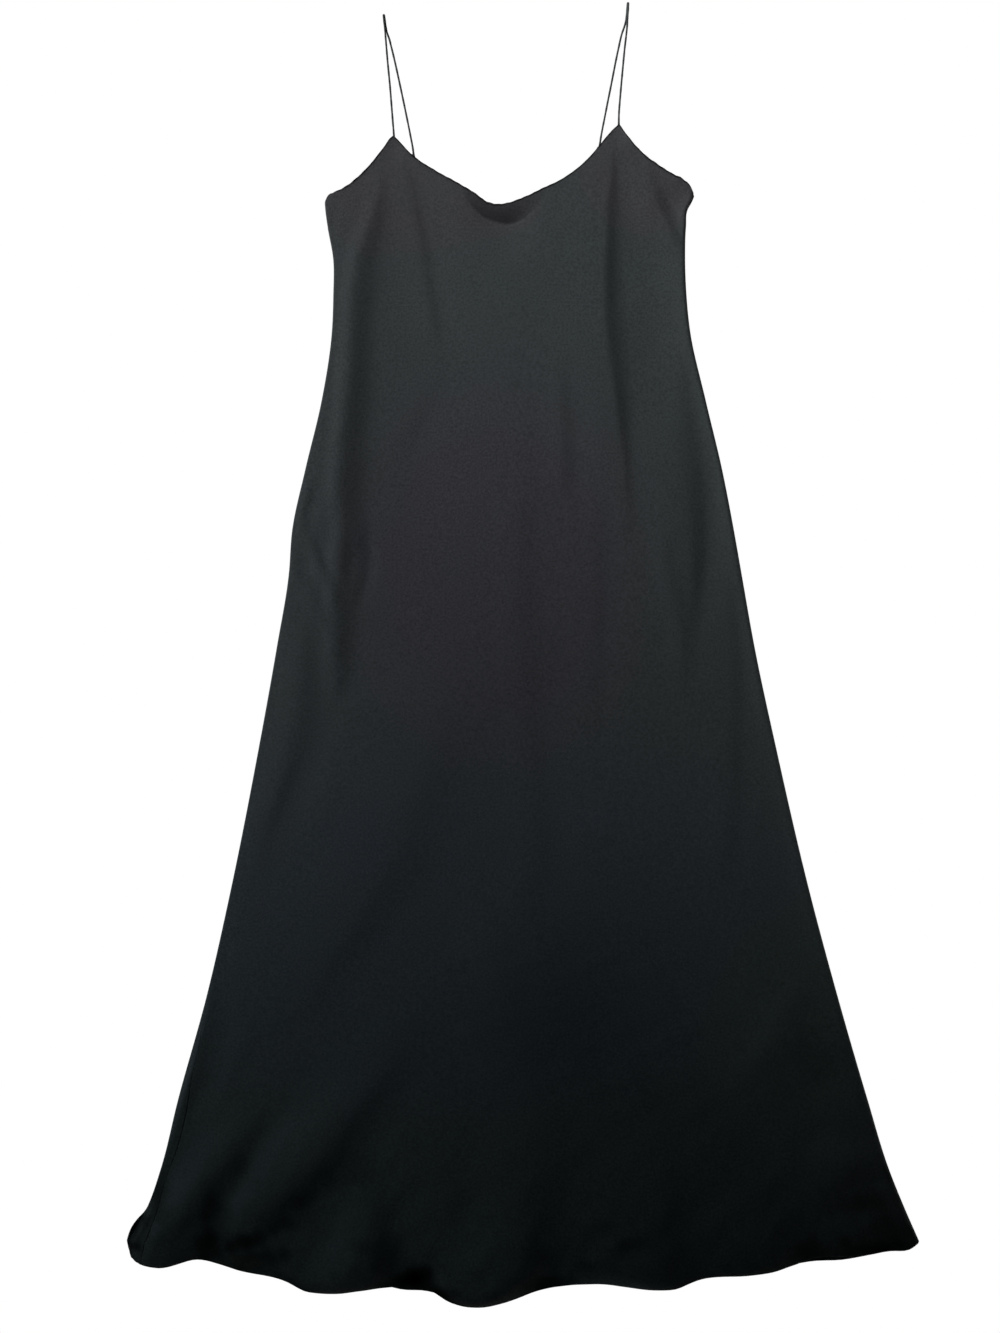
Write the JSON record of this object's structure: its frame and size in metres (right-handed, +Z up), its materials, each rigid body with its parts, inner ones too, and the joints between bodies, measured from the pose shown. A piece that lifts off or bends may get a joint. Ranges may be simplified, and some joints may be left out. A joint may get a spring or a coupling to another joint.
{
  "type": "slip dress",
  "caption": "Black crepe slip dress with thin shoulder straps, a V-shaped neckline with a small cowl and a flared maxi skirt, laid flat with its front up.",
  "frame": {"origin": "on the surface that the dress lies on, at the middle of its length and width", "axes": "+X towards the right strap as seen from above, +Y from the hem towards the straps, +Z up, away from the surface"},
  "size_m": [0.889, 1.4609, 0.017],
  "materials": {
    "crepe": "matte satin-back crepe",
    "strap": "rolled cord of the same crepe"
  },
  "bodies": {
    "root": {"front_panel": "crepe", "back_panel": "crepe", "strap_left": "strap", "strap_right": "strap"}
  },
  "joints": []
}
